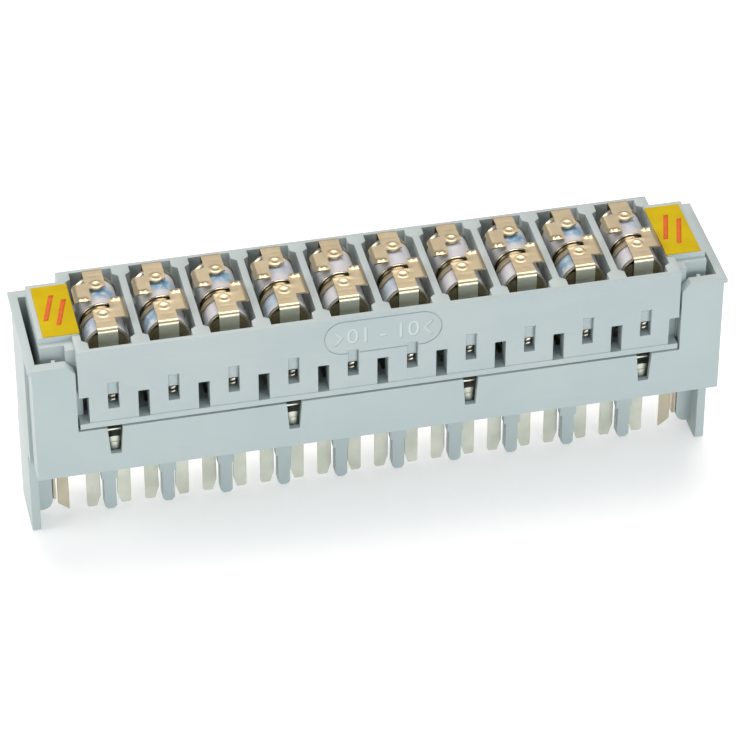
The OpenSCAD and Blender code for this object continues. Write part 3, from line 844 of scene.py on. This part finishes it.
for n in NOTCHES:
    x0 = centre_x(f"electrodes_{n}")
    for name, points, thickness in ((f"rail_tab_face_{n}", rail_tab(x0), 0.3),
                                    (f"rail_flange_edge_{n}", flange_edge(x0), 0.25)):
        piece = joined_piece(name, [(points, grid_faces(13, 9))], tinned)
        thicken(piece, "sheet_thickness", thickness)
        split_edges(piece, 50)
print("rail tabs:", len(NOTCHES))

# %% [markdown]
# ## Labels
# A yellow film lies on each shoulder. Its edge is a little round, and it shows two slanted
# orange bars as a plain mark.

# %% Label materials
def cloudy_film(name, scale, dark, light, rough):
    """Material whose colour drifts between two close shades; returns (material, shader)."""
    m, t, s = plain_material(name)
    where = t.nodes.new("ShaderNodeTexCoord").outputs["Object"]
    t.links.new(ramp(t, noise(t, scale, 3.0, where), dark, light, 0.3, 0.7),
                s.inputs["Base Color"])
    s.inputs["Roughness"].default_value = rough
    return m, s


film, film_shader = cloudy_film("label_film", 300.0, (0.62, 0.43, 0.003),
                                (0.69, 0.5, 0.005), 0.6)
film_shader.inputs["Specular IOR Level"].default_value = 0.12
orange_print, _ = cloudy_film("orange_print", 900.0, (0.75, 0.1, 0.01),
                              (0.82, 0.16, 0.015), 0.5)
print("label materials:", film.name, orange_print.name)

# %% Labels
BAR_LENGTH, BAR_WIDTH, BAR_LEAN = 7.2, 0.85, 2.0
PRINT_THICKNESS = 0.03


def slanted_bar(x, y, z):
    """Flat bar round (x, y): u runs along y and leans in x, v runs across in x."""
    u, v = np.meshgrid(np.linspace(-0.5, 0.5, 9), np.linspace(-0.5, 0.5, 3), indexing="ij")
    return np.stack([x + u * BAR_LEAN + v * BAR_WIDTH, y + u * BAR_LENGTH, z + 0 * u], -1)


for side in ("left", "right"):
    rounded_copy(f"label_{side}", film, "label", 0.08, segments=2, angle=30)
    low, high = span(f"label_{side}")
    mx, my = (low + high)[:2] / 2
    bars = [(slanted_bar(mx + d, my + e, high[2] + 0.02), grid_faces(9, 3))
            for d, e in ((-1.0, 0.8), (1.0, -0.8))]
    mark = joined_piece(f"label_mark_{side}", bars, orange_print)
    thicken(mark, "print_thickness", PRINT_THICKNESS)
print("labels: 2")

# %% [markdown]
# ## Marking field
# The long wall carries an oval field with plain marks: the numbers of the first and last
# pair between two arrow heads. The figures are a text curve made into a mesh; the arrow
# heads are a chevron profile. Each mark is a thin pale layer over a darker one set lower and
# to the right, the way that shallow raised marks look under a lamp from above.

# %% Raised text
def raised_text(name, body, height, x, z, y_face, out, material):
    """Text turned upright against the front wall, standing out by `out` millimetres.

    The text's own (x, y, depth) becomes (x, wall less half of `out` less depth, z + y).
    """
    curve = bpy.data.curves.new(name, "FONT")
    curve.body = body
    curve.size = height * MM
    curve.align_x, curve.align_y = "CENTER", "CENTER"
    curve.extrude = out / 2 * MM
    curve.resolution_u = 3
    holder = bpy.data.objects.new(f"{name}_curve", curve)
    bpy.context.scene.collection.objects.link(holder)
    bpy.context.view_layer.update()
    data = bpy.data.meshes.new_from_object(holder)
    bpy.data.objects.remove(holder)
    flat = np.empty(len(data.vertices) * 3)
    data.vertices.foreach_get("co", flat)
    flat = flat.reshape(-1, 3)
    placed = np.stack([flat[:, 0] + x * MM, (y_face - out / 2) * MM - flat[:, 2],
                       flat[:, 1] + z * MM], -1)
    data.vertices.foreach_set("co", placed.ravel())
    data.materials.clear()
    data.materials.append(material)
    data.update()
    obj = bpy.data.objects.new(name, data)
    bpy.context.scene.collection.objects.link(obj)
    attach(obj, "root")
    return obj


print("raised text helper ready")

# %% Marking field
FIELD_DROP = 4.75
TEXT_HEIGHT = 4.6
ARROW_X, ARROW_DEPTH, ARROW_HALF = 7.4, 1.3, 1.45
field_z = span("magazine")[1][2] - FIELD_DROP
face_y = span("magazine")[0][1]
mark_lit = moulded("mark_lit_side", (0.66, 0.72, 0.72), (0.7, 0.76, 0.75))
mark_shade = moulded("mark_shaded_side", (0.36, 0.43, 0.44), (0.4, 0.47, 0.48))


def arrow_head(sign, shift, out):
    """Chevron: x = sign times (-7.4 - 1.3 |u| + v / 2), z = 1.45 u, u -1 to 1, v across."""
    u, v = np.meshgrid(np.linspace(-1, 1, 9), np.linspace(-0.5, 0.5, 2), indexing="ij")
    x = sign * (-ARROW_X - ARROW_DEPTH * np.abs(u) + 0.5 * v) + shift
    return np.stack([x, 0 * u + face_y - out / 2, field_z - shift + ARROW_HALF * u], -1)


# Each layer's name, how far it is shifted, how far it stands out, and its material.
for tone, shift, out, material in (("shade", 0.13, 0.012, mark_shade),
                                   ("lit", 0.0, 0.024, mark_lit)):
    raised_text(f"marking_numbers_{tone}", "01 - 10", TEXT_HEIGHT, shift, field_z - shift,
                face_y, out, material)
    for name, sign in (("left", 1), ("right", -1)):
        arrow = joined_piece(f"marking_arrow_{name}_{tone}",
                             [(arrow_head(sign, shift, out), grid_faces(9, 2))],
                             material)
        thicken(arrow, "mark_height", out)
print("marks on the field at height:", round(float(field_z), 2))

# %% Finish
low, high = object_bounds()
print("visual box in mm:", [round(v / MM, 2) for v in (*low, *high)])
